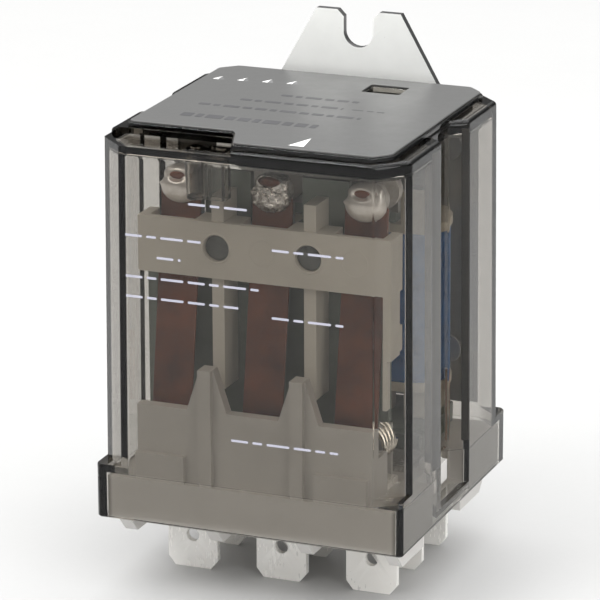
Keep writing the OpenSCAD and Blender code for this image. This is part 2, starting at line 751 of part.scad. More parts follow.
cover();
label_plate();
flange_plate();
flange_rivets();
base();
common_terminal(-1);  // common_terminal_1
common_terminal(0);  // common_terminal_2
common_terminal(1);  // common_terminal_3
fixed_terminal(-1);  // fixed_terminal_1
fixed_terminal(0);  // fixed_terminal_2
fixed_terminal(1);  // fixed_terminal_3
coil_terminal(-1);  // coil_terminal_1
coil_terminal(1);  // coil_terminal_2
leaf_foot(-1);  // leaf_foot_1
leaf_foot(0);  // leaf_foot_2
leaf_foot(1);  // leaf_foot_3
contact_leaf(-1);  // contact_leaf_1
contact_leaf(0);  // contact_leaf_2
contact_leaf(1);  // contact_leaf_3
moving_contact(-1);  // moving_contact_1
moving_contact(0);  // moving_contact_2
moving_contact(1);  // moving_contact_3
fixed_contact(-1);  // fixed_contact_1
fixed_contact(0);  // fixed_contact_2
fixed_contact(1);  // fixed_contact_3
carrier();
carrier_studs();
armature();
return_spring();
yoke();
core();
pole_piece();
bobbin();
winding();
coil_tape();
coil_lead(-1);  // coil_lead_1
coil_lead(1);  // coil_lead_2
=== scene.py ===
"""Looks of the plug-in power relay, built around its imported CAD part. Lengths are in metres."""
import math

import bmesh
import bpy
from mathutils import Matrix, Vector, noise


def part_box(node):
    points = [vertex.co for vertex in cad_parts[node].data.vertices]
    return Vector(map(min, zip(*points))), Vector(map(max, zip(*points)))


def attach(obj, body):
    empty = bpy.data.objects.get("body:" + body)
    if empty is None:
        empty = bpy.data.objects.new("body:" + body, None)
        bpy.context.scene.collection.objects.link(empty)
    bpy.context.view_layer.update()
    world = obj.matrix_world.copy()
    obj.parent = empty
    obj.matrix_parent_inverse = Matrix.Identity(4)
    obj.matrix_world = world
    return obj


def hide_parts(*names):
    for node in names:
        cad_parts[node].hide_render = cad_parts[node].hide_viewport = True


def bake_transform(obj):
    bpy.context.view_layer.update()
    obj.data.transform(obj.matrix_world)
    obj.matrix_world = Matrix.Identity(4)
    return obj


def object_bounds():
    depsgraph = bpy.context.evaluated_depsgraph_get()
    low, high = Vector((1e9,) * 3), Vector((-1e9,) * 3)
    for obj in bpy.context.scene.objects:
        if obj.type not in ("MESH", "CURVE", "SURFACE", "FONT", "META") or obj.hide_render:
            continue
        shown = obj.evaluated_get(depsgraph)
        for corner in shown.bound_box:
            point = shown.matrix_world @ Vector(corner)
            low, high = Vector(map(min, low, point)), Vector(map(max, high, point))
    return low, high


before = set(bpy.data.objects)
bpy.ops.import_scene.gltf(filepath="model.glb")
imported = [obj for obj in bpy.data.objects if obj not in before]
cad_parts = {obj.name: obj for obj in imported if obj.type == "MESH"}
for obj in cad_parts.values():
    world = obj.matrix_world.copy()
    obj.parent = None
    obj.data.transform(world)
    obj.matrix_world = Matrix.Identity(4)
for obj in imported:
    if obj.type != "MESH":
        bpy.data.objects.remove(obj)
cad_low, cad_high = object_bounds()

MM = 0.001
COVER_LOW, COVER_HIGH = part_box("cover")
CENTRE_Y = (COVER_LOW.y + COVER_HIGH.y) / 2
SKIRT_Z = COVER_LOW.z


def at(x, y, z):
    """A row-frame point from millimetres off the cover's centre line and the skirt's bottom."""
    return Vector((x * MM, CENTRE_Y + y * MM, SKIRT_Z + z * MM))


def local(point):
    """A row-frame point as millimetres off the cover's centre line and the skirt's bottom."""
    return Vector((point.x / MM, (point.y - CENTRE_Y) / MM, (point.z - SKIRT_Z) / MM))


def local_box(node):
    low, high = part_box(node)
    return local(low), local(high)


def middle_x(node):
    low, high = local_box(node)
    return (low.x + high.x) / 2


# ---- Materials ----

class Nodes:
    """Short calls for building one material's node tree."""

    def __init__(self, name):
        self.material = bpy.data.materials.new(name)
        self.material.use_nodes = True
        self.tree = self.material.node_tree
        self.tree.nodes.clear()
        self.out = self.add("ShaderNodeOutputMaterial")
        self.coords = self.add("ShaderNodeTexCoord").outputs["Object"]

    def add(self, kind, **values):
        node = self.tree.nodes.new(kind)
        for key, value in values.items():
            setattr(node, key, value)
        return node

    def link(self, source, target):
        self.tree.links.new(source, target)

    def feed(self, target, value):
        if isinstance(value, bpy.types.NodeSocket):
            self.link(value, target)
        else:
            target.default_value = value

    def mapped(self, scale):
        node = self.add("ShaderNodeMapping")
        self.link(self.coords, node.inputs["Vector"])
        node.inputs["Scale"].default_value = scale
        return node.outputs[0]

    def noise(self, size, detail=3.0, rough=0.55, stretch=(1, 1, 1)):
        """Noise whose features are about size millimetres across."""
        node = self.add("ShaderNodeTexNoise")
        k = 1 / (size * MM)
        self.link(self.mapped((k * stretch[0], k * stretch[1], k * stretch[2])),
                  node.inputs["Vector"])
        node.inputs["Scale"].default_value = 1.0
        node.inputs["Detail"].default_value = detail
        node.inputs["Roughness"].default_value = rough
        return node.outputs["Fac"]

    def ramp(self, value, low, high, to_low=0.0, to_high=1.0):
        node = self.add("ShaderNodeMapRange")
        node.clamp = True
        self.feed(node.inputs["Value"], value)
        for name, number in (("From Min", low), ("From Max", high), ("To Min", to_low),
                             ("To Max", to_high)):
            node.inputs[name].default_value = number
        return node.outputs["Result"]

    def math(self, operation, a, b=0.0):
        node = self.add("ShaderNodeMath", operation=operation)
        self.feed(node.inputs[0], a)
        self.feed(node.inputs[1], b)
        return node.outputs[0]

    def mix(self, factor, a, b):
        node = self.add("ShaderNodeMix", data_type="RGBA")
        self.feed(node.inputs["Factor"], factor)
        self.feed(node.inputs["A"], (*a, 1) if isinstance(a, tuple) else a)
        self.feed(node.inputs["B"], (*b, 1) if isinstance(b, tuple) else b)
        return node.outputs["Result"]

    def bump(self, height, strength, distance):
        node = self.add("ShaderNodeBump")
        node.inputs["Strength"].default_value = strength
        node.inputs["Distance"].default_value = distance * MM
        self.link(height, node.inputs["Height"])
        return node.outputs["Normal"]

    def edges(self, radius):
        """One along convex edges and zero on the flats."""
        bevel = self.add("ShaderNodeBevel", samples=4)
        bevel.inputs["Radius"].default_value = radius * MM
        geometry = self.add("ShaderNodeNewGeometry")
        dot = self.add("ShaderNodeVectorMath", operation="DOT_PRODUCT")
        self.link(bevel.outputs["Normal"], dot.inputs[0])
        self.link(geometry.outputs["Normal"], dot.inputs[1])
        return self.ramp(dot.outputs["Value"], 0.98, 0.75)


def finish(name, base, other, rough, metal=0.0, mottle=3.0, grain=0.12, bump=0.15,
           depth=0.02, wear_and_highlight=None, stretch=(1, 1, 1), coat=0.0, painted_side_shade=None, beyond=None):
    """A surface with mottled colour, uneven roughness, a fine grain and lighter edges that are
    partly wear and partly painted highlight.

    Lengths are in millimetres. The side-shade colour is painted shade on the faces that don't look
    along Y, and beyond changes the colour past a distance from the middle along one axis.
    """
    n = Nodes(name)
    shader = n.add("ShaderNodeBsdfPrincipled")
    n.link(shader.outputs[0], n.out.inputs["Surface"])
    broad = n.noise(mottle, 4, 0.6)
    fine = n.noise(grain, 3, 0.6, stretch)
    colour = n.mix(n.ramp(broad, 0.35, 0.65), base, other)
    # The lighter colour along convex edges is partly wear and partly a painted highlight.
    if wear_and_highlight:
        edge = n.math("MULTIPLY", n.edges(0.12), n.ramp(n.noise(0.8, 3), 0.35, 0.6))
        colour = n.mix(n.math("MULTIPLY", edge, wear_and_highlight[1]), colour, wear_and_highlight[0])
    if beyond:
        axis, start, end, other_colour = beyond
        place = n.add("ShaderNodeSeparateXYZ")
        n.link(n.add("ShaderNodeNewGeometry").outputs["Position"], place.inputs[0])
        reach = n.math("ABSOLUTE", place.outputs[axis])
        colour = n.mix(n.ramp(reach, start * MM, end * MM), colour, other_colour)
    # Painted shade: faces that don't look along Y get a dark colour in place of dark reflections
    # and shade.
    if painted_side_shade:
        split = n.add("ShaderNodeSeparateXYZ")
        n.link(n.add("ShaderNodeNewGeometry").outputs["True Normal"], split.inputs[0])
        face = n.math("ABSOLUTE", split.outputs["Y"])
        colour = n.mix(n.ramp(face, 0.75, 0.45), colour, painted_side_shade)
    n.link(colour, shader.inputs["Base Color"])
    uneven = n.math("ADD", n.math("MULTIPLY", broad, 0.6), n.math("MULTIPLY", fine, 0.4))
    n.link(n.ramp(uneven, 0.3, 0.7, rough[0], rough[1]), shader.inputs["Roughness"])
    n.link(n.bump(fine, bump, depth), shader.inputs["Normal"])
    shader.inputs["Metallic"].default_value = metal
    shader.inputs["Coat Weight"].default_value = coat
    return n.material


def smoked(name, density, tint, ior):
    """Clear smoked plastic: refracting glass whose long paths go dark, open to lamp light."""
    n = Nodes(name)
    shader = n.add("ShaderNodeBsdfPrincipled")
    shader.inputs["Base Color"].default_value = (0.97, 0.965, 0.955, 1)
    shader.inputs["Transmission Weight"].default_value = 1.0
    shader.inputs["IOR"].default_value = ior
    shader.inputs["Specular IOR Level"].default_value = 0.06
    wipe = n.noise(9.0, 4, 0.6)
    n.link(n.ramp(wipe, 0.35, 0.7, 0.004, 0.02), shader.inputs["Roughness"])
    n.link(n.bump(n.noise(6.0, 1, 0.5), 0.02, 0.01), shader.inputs["Normal"])
    clear = n.add("ShaderNodeBsdfTransparent")
    clear.inputs["Color"].default_value = (0.745, 0.735, 0.72, 1)
    path = n.add("ShaderNodeLightPath")
    open_ray = n.math("MAXIMUM", path.outputs["Is Shadow Ray"], path.outputs["Is Diffuse Ray"])
    mix = n.add("ShaderNodeMixShader")
    n.link(open_ray, mix.inputs[0])
    n.link(shader.outputs[0], mix.inputs[1])
    n.link(clear.outputs[0], mix.inputs[2])
    n.link(mix.outputs[0], n.out.inputs["Surface"])
    volume = n.add("ShaderNodeVolumeAbsorption")
    volume.inputs["Color"].default_value = (*tint, 1)
    volume.inputs["Density"].default_value = density
    n.link(volume.outputs[0], n.out.inputs["Volume"])
    return n.material


SILVER = {"metal": 0.2, "mottle": 9, "grain": 0.4, "bump": 0.03, "depth": 0.006,
          "stretch": (1, 1, 0.3)}

M = {
    "smoked": smoked("smoked_cover", 520.0, (0.42, 0.39, 0.34), 1.36),
    "smoked_thick": smoked("smoked_thick", 1100.0, (0.42, 0.37, 0.30), 1.0),
    # Painted shade: near black for plates standing in for the dark bands along the grooves' edges
    # and feet.
    "edge": finish("painted_shade_band", (0.020, 0.018, 0.015), (0.030, 0.027, 0.022), (0.35, 0.5),
                   bump=0.05),
    "label": finish("label_print", (0.10, 0.10, 0.098), (0.093, 0.093, 0.091), (0.30, 0.42),
                    metal=0.25, mottle=5, grain=0.07, bump=0.12, depth=0.01),
    "ink": finish("dark_ink", (0.035, 0.035, 0.038), (0.045, 0.045, 0.048), (0.4, 0.55), bump=0.1),
    # Painted shade: near black for a sheet inside the roof under the label.
    "shade_sheet": finish("roof_shade_sheet", (0.004, 0.004, 0.006), (0.007, 0.007, 0.009), (0.5, 0.7)),
    "pale_ink": finish("pale_ink", (0.42, 0.42, 0.49), (0.38, 0.38, 0.45), (0.4, 0.55), bump=0.1),
    # Painted light: white for lit facets and dark grey for shaded facets of small embossed marks.
    "painted_highlight": finish("pip_painted_highlight", (0.86, 0.86, 0.84), (0.8, 0.8, 0.78), (0.3, 0.4), bump=0.05),
    "pip_shade": finish("pip_painted_shade", (0.10, 0.10, 0.10), (0.14, 0.14, 0.14), (0.3, 0.4),
                        bump=0.05),
    # Painted shade on the plate: its faces that don't look along Y are painted near black.
    "plated": finish("plated_steel", (0.86, 0.865, 0.84), (0.82, 0.825, 0.80), (0.26, 0.4),
                     metal=0.35, mottle=4, grain=0.1, bump=0.1, depth=0.01,
                     stretch=(1, 1, 0.2), painted_side_shade=(0.05, 0.05, 0.05)),
    "rivet": finish("rivet_metal", (0.46, 0.46, 0.45), (0.38, 0.38, 0.37), (0.3, 0.45),
                    metal=0.9, grain=0.1, bump=0.12, depth=0.01,
                    wear_and_highlight=((0.7, 0.7, 0.68), 0.6)),
    "stud": finish("dark_stud", (0.10, 0.105, 0.10), (0.15, 0.155, 0.15), (0.35, 0.5),
                   metal=0.5, grain=0.15, bump=0.2, wear_and_highlight=((0.25, 0.25, 0.24), 0.5)),
    # Painted shade: the base is painted dark past 17.4 mm from the middle along X.
    "grey": finish("grey_plastic", (0.60, 0.585, 0.565), (0.56, 0.545, 0.525), (0.38, 0.5),
                   mottle=6, grain=0.14, bump=0.2, depth=0.015,
                   wear_and_highlight=((0.75, 0.74, 0.72), 0.7),
                   beyond=("X", 17.4, 17.8, (0.27, 0.26, 0.24))),
    "light": finish("light_plastic", (0.66, 0.63, 0.575), (0.62, 0.59, 0.54), (0.36, 0.48),
                    mottle=6, grain=0.14, bump=0.18, depth=0.015,
                    wear_and_highlight=((0.8, 0.78, 0.73), 0.6)),
    "bobbin": finish("bobbin_plastic", (0.66, 0.60, 0.50), (0.61, 0.55, 0.45), (0.35, 0.48),
                     mottle=5, grain=0.14, bump=0.15, depth=0.015,
                     wear_and_highlight=((0.8, 0.75, 0.66), 0.5)),
    "blade": finish("silver_plate", (0.92, 0.905, 0.87), (0.88, 0.86, 0.82), (0.2, 0.36),
                    **SILVER),
    # Painted shade: the silver arms are painted dark above a height of 13 to 15 mm.
    "arm": finish("silver_arm", (0.92, 0.905, 0.87), (0.88, 0.86, 0.82), (0.2, 0.36),
                  beyond=("Z", 13.0, 15.0, (0.30, 0.29, 0.27)), **SILVER),
    "leaf": finish("dull_copper", (0.085, 0.040, 0.030), (0.19, 0.070, 0.040), (0.3, 0.5),
                   metal=0.6, mottle=6, grain=0.3, bump=0.04, depth=0.005,
                   wear_and_highlight=((0.35, 0.2, 0.15), 0.5), stretch=(1, 1, 0.15)),
    "contact": finish("contact_silver", (0.93, 0.90, 0.87), (0.80, 0.76, 0.72), (0.10, 0.28),
                      metal=0.35, mottle=0.9, grain=0.25, bump=0.3, depth=0.03),
    "solder": finish("rough_silver", (0.85, 0.82, 0.78), (0.30, 0.27, 0.24), (0.10, 0.35),
                     metal=0.8, mottle=0.5, grain=0.2, bump=0.6, depth=0.08),
    "iron": finish("magnet_iron", (0.21, 0.235, 0.21), (0.17, 0.195, 0.17), (0.35, 0.5),
                   metal=0.3, mottle=4, grain=0.12, bump=0.12, depth=0.01,
                   wear_and_highlight=((0.6, 0.6, 0.58), 0.5)),
    "spring": finish("spring_wire", (0.78, 0.74, 0.66), (0.62, 0.57, 0.50), (0.12, 0.25),
                     metal=1.0, mottle=1.0, grain=0.08, bump=0.08, depth=0.01),
    "copper": finish("copper_wire", (0.52, 0.22, 0.10), (0.42, 0.17, 0.08), (0.25, 0.4),
                     metal=0.8, mottle=2, grain=0.1, bump=0.1, depth=0.01, coat=0.4),
    "tape": finish("blue_tape", (0.004, 0.075, 0.26), (0.008, 0.12, 0.38), (0.22, 0.38),
                   mottle=3, grain=0.2, bump=0.12, depth=0.02, coat=0.25,
                   wear_and_highlight=((0.12, 0.3, 0.5), 0.4)),
    "floor": finish("pale_floor", (0.42, 0.42, 0.417), (0.41, 0.41, 0.407), (0.5, 0.62),
                    mottle=60, grain=0.8, bump=0.03, depth=0.02),
}


# ---- Mesh helpers ----

def new_object(name, mesh):
    obj = bpy.data.objects.new(name, mesh)
    bpy.context.scene.collection.objects.link(obj)
    return obj


def from_bmesh(name, bm, sharp=32):
    """A mesh object with smooth faces and sharp edges above an angle in degrees."""
    bmesh.ops.recalc_face_normals(bm, faces=bm.faces)
    mesh = bpy.data.meshes.new(name)
    bm.to_mesh(mesh)
    bm.free()
    for polygon in mesh.polygons:
        polygon.use_smooth = True
    mesh.set_sharp_from_angle(angle=math.radians(sharp))
    return new_object(name, mesh)


def applied(obj, sharp=32):
    """The same object with its modifiers made part of its mesh."""
    depsgraph = bpy.context.evaluated_depsgraph_get()
    mesh = bpy.data.meshes.new_from_object(obj.evaluated_get(depsgraph))
    obj.modifiers.clear()
    obj.data = mesh
    for polygon in mesh.polygons:
        polygon.use_smooth = True
    mesh.set_sharp_from_angle(angle=math.radians(sharp))
    return obj


def combine(obj, others, operation):
    """Joins other solids to obj or cuts them from it, and removes them."""
    for other in others:
        modifier = obj.modifiers.new("solid", "BOOLEAN")
        modifier.operation = operation
        modifier.solver = "EXACT"
        modifier.object = other
    applied(obj)
    for other in others:
        bpy.data.objects.remove(other)
    return obj


def bevelled(obj, width):
    """Rounds the edges of obj by width millimetres and keeps its flats flat."""
    weld = obj.modifiers.new("weld", "WELD")
    weld.merge_threshold = 0.002 * MM
    bevel = obj.modifiers.new("round", "BEVEL")
    bevel.width = width * MM
    bevel.segments = 2
    bevel.limit_method = "ANGLE"
    bevel.angle_limit = math.radians(35)
    bevel.use_clamp_overlap = True
    bevel.miter_outer = "MITER_ARC"
    normals = obj.modifiers.new("normals", "WEIGHTED_NORMAL")
    normals.keep_sharp = False


def flat_sides(obj):
    """Keeps large faces flat beside small rounds, so that clear walls don't act as lenses."""
    normals = obj.modifiers.new("normals", "WEIGHTED_NORMAL")
    normals.weight = 100
    normals.keep_sharp = True
    return obj


def rounded(points, radius, steps=3):
    """The closed outline with its corners rounded, steps + 1 points to a corner."""
    made = []
    count = len(points)
    for i in range(count):
        p = Vector(points[i])
        a = Vector(points[i - 1]) - p
        b = Vector(points[(i + 1) % count]) - p
        r = radius[i] if isinstance(radius, (list, tuple)) else radius
        turn = math.pi - a.angle(b)
        if turn < 0.02:
            for k in range(steps + 1):
                made.append(p + b.normalized() * (k / steps - 0.5) * 0.1)
            continue
        reach = min(r * math.tan(turn / 2), a.length * 0.45, b.length * 0.45)
        r = reach / math.tan(turn / 2)
        start = p + a.normalized() * reach
        centre = p + (a.normalized() + b.normalized()).normalized() * (r / math.cos(turn / 2))
        arm = start - centre
        sign = 1 if a.cross(b) < 0 else -1
        for k in range(steps + 1):
            angle = sign * turn * k / steps
            made.append(centre + Vector((arm.x * math.cos(angle) - arm.y * math.sin(angle),
                                         arm.x * math.sin(angle) + arm.y * math.cos(angle))))
    return [(p.x, p.y) for p in made]


def rectangle(x0, y0, x1, y1):
    return [(x0, y0), (x1, y0), (x1, y1), (x0, y1)]


def ring(bm, points):
    return [bm.verts.new(p) for p in points]


def strip(bm, a, b):
    """Quads between two closed rings with the same number of points."""
    for i in range(len(a)):
        j = (i + 1) % len(a)
        bm.faces.new((a[i], a[j], b[j], b[i]))


def slab(name, outline, low, high, to_point, edge=0.1, steps=2, holes=()):
    """A plate with rounded edges: an outline and holes in the plane, thickened from low to high."""
    def grown(loop, inset):
        area = sum(loop[i - 1][0] * loop[i][1] - loop[i][0] * loop[i - 1][1]
                   for i in range(len(loop)))
        sign = 1 if area > 0 else -1
        out = []
        for i in range(len(loop)):
            p, q, r = Vector(loop[i - 1]), Vector(loop[i]), Vector(loop[(i + 1) % len(loop)])
            d0, d1 = (q - p).normalized(), (r - q).normalized()
            normal = (Vector((-d0.y, d0.x)) + Vector((-d1.y, d1.x))) * sign
            length = normal.length
            if length < 1e-6:
                out.append(q)
                continue
            normal /= length
            cosine = max(normal.dot(Vector((-d0.y, d0.x)) * sign), 0.4)
            out.append(q + normal * (inset / cosine))
        return out

    bm = bmesh.new()
    profile = [(low + edge * (1 - math.cos(math.pi / 2 * k / steps)),
                edge * (1 - math.sin(math.pi / 2 * k / steps))) for k in range(steps + 1)]
    profile += [(high - edge * (1 - math.cos(math.pi / 2 * k / steps)),
                 edge * (1 - math.sin(math.pi / 2 * k / steps))) for k in range(steps, -1, -1)]
    caps = {0: [], len(profile) - 1: []}
    for loop, sign in [(outline, 1)] + [(hole, -1) for hole in holes]:
        previous = None
        for index, (z, inset) in enumerate(profile):
            points = [to_point(p[0], p[1], z) for p in grown(loop, sign * inset)]
            verts = ring(bm, points)
            if previous:
                strip(bm, previous, verts)
            previous = verts
            if index in caps:
                caps[index].append(verts)
    for loops in caps.values():
        if len(loops) == 1:
            bm.faces.new(loops[0])
        else:
            edges = []
            for verts in loops:
                edges += [bm.edges.get((verts[i - 1], verts[i])) for i in range(len(verts))]
            bmesh.ops.triangle_fill(bm, use_beauty=True, use_dissolve=True, edges=edges)
    return from_bmesh(name, bm)


def in_plan(x, y, z):
    return at(x, y, z)


def in_front(x, z, y):
    return at(x, y, z)


def box(low, high, name="tool"):
    bm = bmesh.new()
    bmesh.ops.create_cube(bm, size=1.0)
    a, b = at(*low), at(*high)
    for v in bm.verts:
        v.co = Vector([(a[k] + b[k]) / 2 + v.co[k] * (b[k] - a[k]) for k in range(3)])
    return from_bmesh(name, bm)


def add_prism(bm, outline, low, high, to_point):
    a = ring(bm, [to_point(p[0], p[1], low) for p in outline])
    b = ring(bm, [to_point(p[0], p[1], high) for p in outline])
    strip(bm, a, b)
    bm.faces.new(a)
    bm.faces.new(b)


def prism(outline, low, high, to_point, name="tool"):
    bm = bmesh.new()
    add_prism(bm, outline, low, high, to_point)
    return from_bmesh(name, bm)


def tube(name, path, radius, sides, closed=False):
    """A round bar of a radius in millimetres along a path of row-frame points."""
    bm = bmesh.new()
    rings = []
    count = len(path)
    normal = None
    for i, p in enumerate(path):
        before = path[i - 1] if (i > 0 or closed) else p
        after = path[(i + 1) % count] if (i < count - 1 or closed) else p
        t = (after - before).normalized()
        if normal is None:
            normal = t.orthogonal().normalized()
        normal = (normal - t * normal.dot(t)).normalized()
        side = t.cross(normal)
        rings.append(ring(bm, [p + (normal * math.cos(2 * math.pi * k / sides)
                                    + side * math.sin(2 * math.pi * k / sides)) * radius * MM
                               for k in range(sides)]))
    for a, b in zip(rings, rings[1:]):
        strip(bm, a, b)
    if closed:
        strip(bm, rings[-1], rings[0])
    else:
        bm.faces.new(rings[0])
        bm.faces.new(rings[-1])
    return from_bmesh(name, bm, 60)


def lathe(name, profile, centre, direction):
    """A turned shape: (radius, distance) pairs in millimetres, along a direction from a centre."""
    d = Vector(direction).normalized()
    u = d.orthogonal().normalized()
    v = d.cross(u)
    sides = 40
    bm = bmesh.new()
    rings = []
    for r, along in profile:
        points = []
        for k in range(sides):
            angle = 2 * math.pi * k / sides
            points.append(centre + d * along * MM
                          + (u * math.cos(angle) + v * math.sin(angle)) * r * MM)
        rings.append(ring(bm, points))
    for a, b in zip(rings, rings[1:]):
        strip(bm, a, b)
    bm.faces.new(rings[0])
    bm.faces.new(rings[-1])
    return from_bmesh(name, bm, 40)


def add_piece(obj, material, body, nodes=()):
    """Gives a piece its material and its body, and hides the CAD nodes it stands for."""
    obj.data.materials.clear()
    obj.data.materials.append(M[material])
    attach(obj, body)
    if nodes:
        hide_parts(*nodes)
    return obj


# ---- Cover ----

W, D = (COVER_HIGH.x - COVER_LOW.x) / MM / 2, (COVER_HIGH.y - COVER_LOW.y) / MM / 2
LABEL_LOW, LABEL_HIGH = local_box("label_plate")
PLATEAU = 0.6
ROOF = LABEL_LOW.z - PLATEAU
SHELF = ROOF - 0.7
ROOF_T, WALL, SKIRT_WALL, SKIRT_H = 1.8, 1.2, 1.0, 6.6
CUT, SMALL_CUT, GROOVE, GROOVE_Z = 3.3, 0.4, 2.0, 1.5
SHRINK = 0.015
PEG, POCKET = (-7.3, -14.6), (-4.9, -13.8)
POCKET_HALF_X, POCKET_HALF_Y = 1.3, 1.0
UNDER_ROOF = ROOF - ROOF_T
WELL_LOW = UNDER_ROOF - 5.0
WINDOW = (3.7, 10.0, 8.0, 13.3)
EDGE_IN, EDGE_OUT = 18.02, 18.95
SILL_IN, SILL_OUT, SILL_HALF = 18.2, 18.98, 4.8


def widened(rect, by):
    """The corners (x0, y0, x1, y1) moved out by a distance."""
    return (rect[0] - by, rect[1] - by, rect[2] + by, rect[3] + by)


def side_name(side):
    return "left" if side < 0 else "right"


def plan(cut, inset, grooved, scale):
    """The cover's outline in plan, moved in by inset."""
    x, y = W - inset, D - inset
    c = max(cut - 0.586 * inset, 0.12)
    depth = GROOVE if grooved else 0.0
    floor_x = x - depth
    mouth, floor = 4.9 + 0.65 * inset, 3.3 + 0.65 * inset
    right = [(x - c, -y), (x, -y + c), (x, -mouth), (floor_x, -floor),
             (floor_x, floor), (x, mouth), (x, y - c), (x - c, y)]
    left = [(-px, py) for px, py in reversed(right)]
    r = 0.25 if cut < 1 else 0.45
    radii = [r, r, 0.35, 0.35, 0.35, 0.35, r, r] * 2
    return [(px * scale, py * scale) for px, py in rounded(right + left, radii)]


def scale_at(z):
    return 1 - SHRINK * max(z - SKIRT_H, 0) / (ROOF - SKIRT_H)


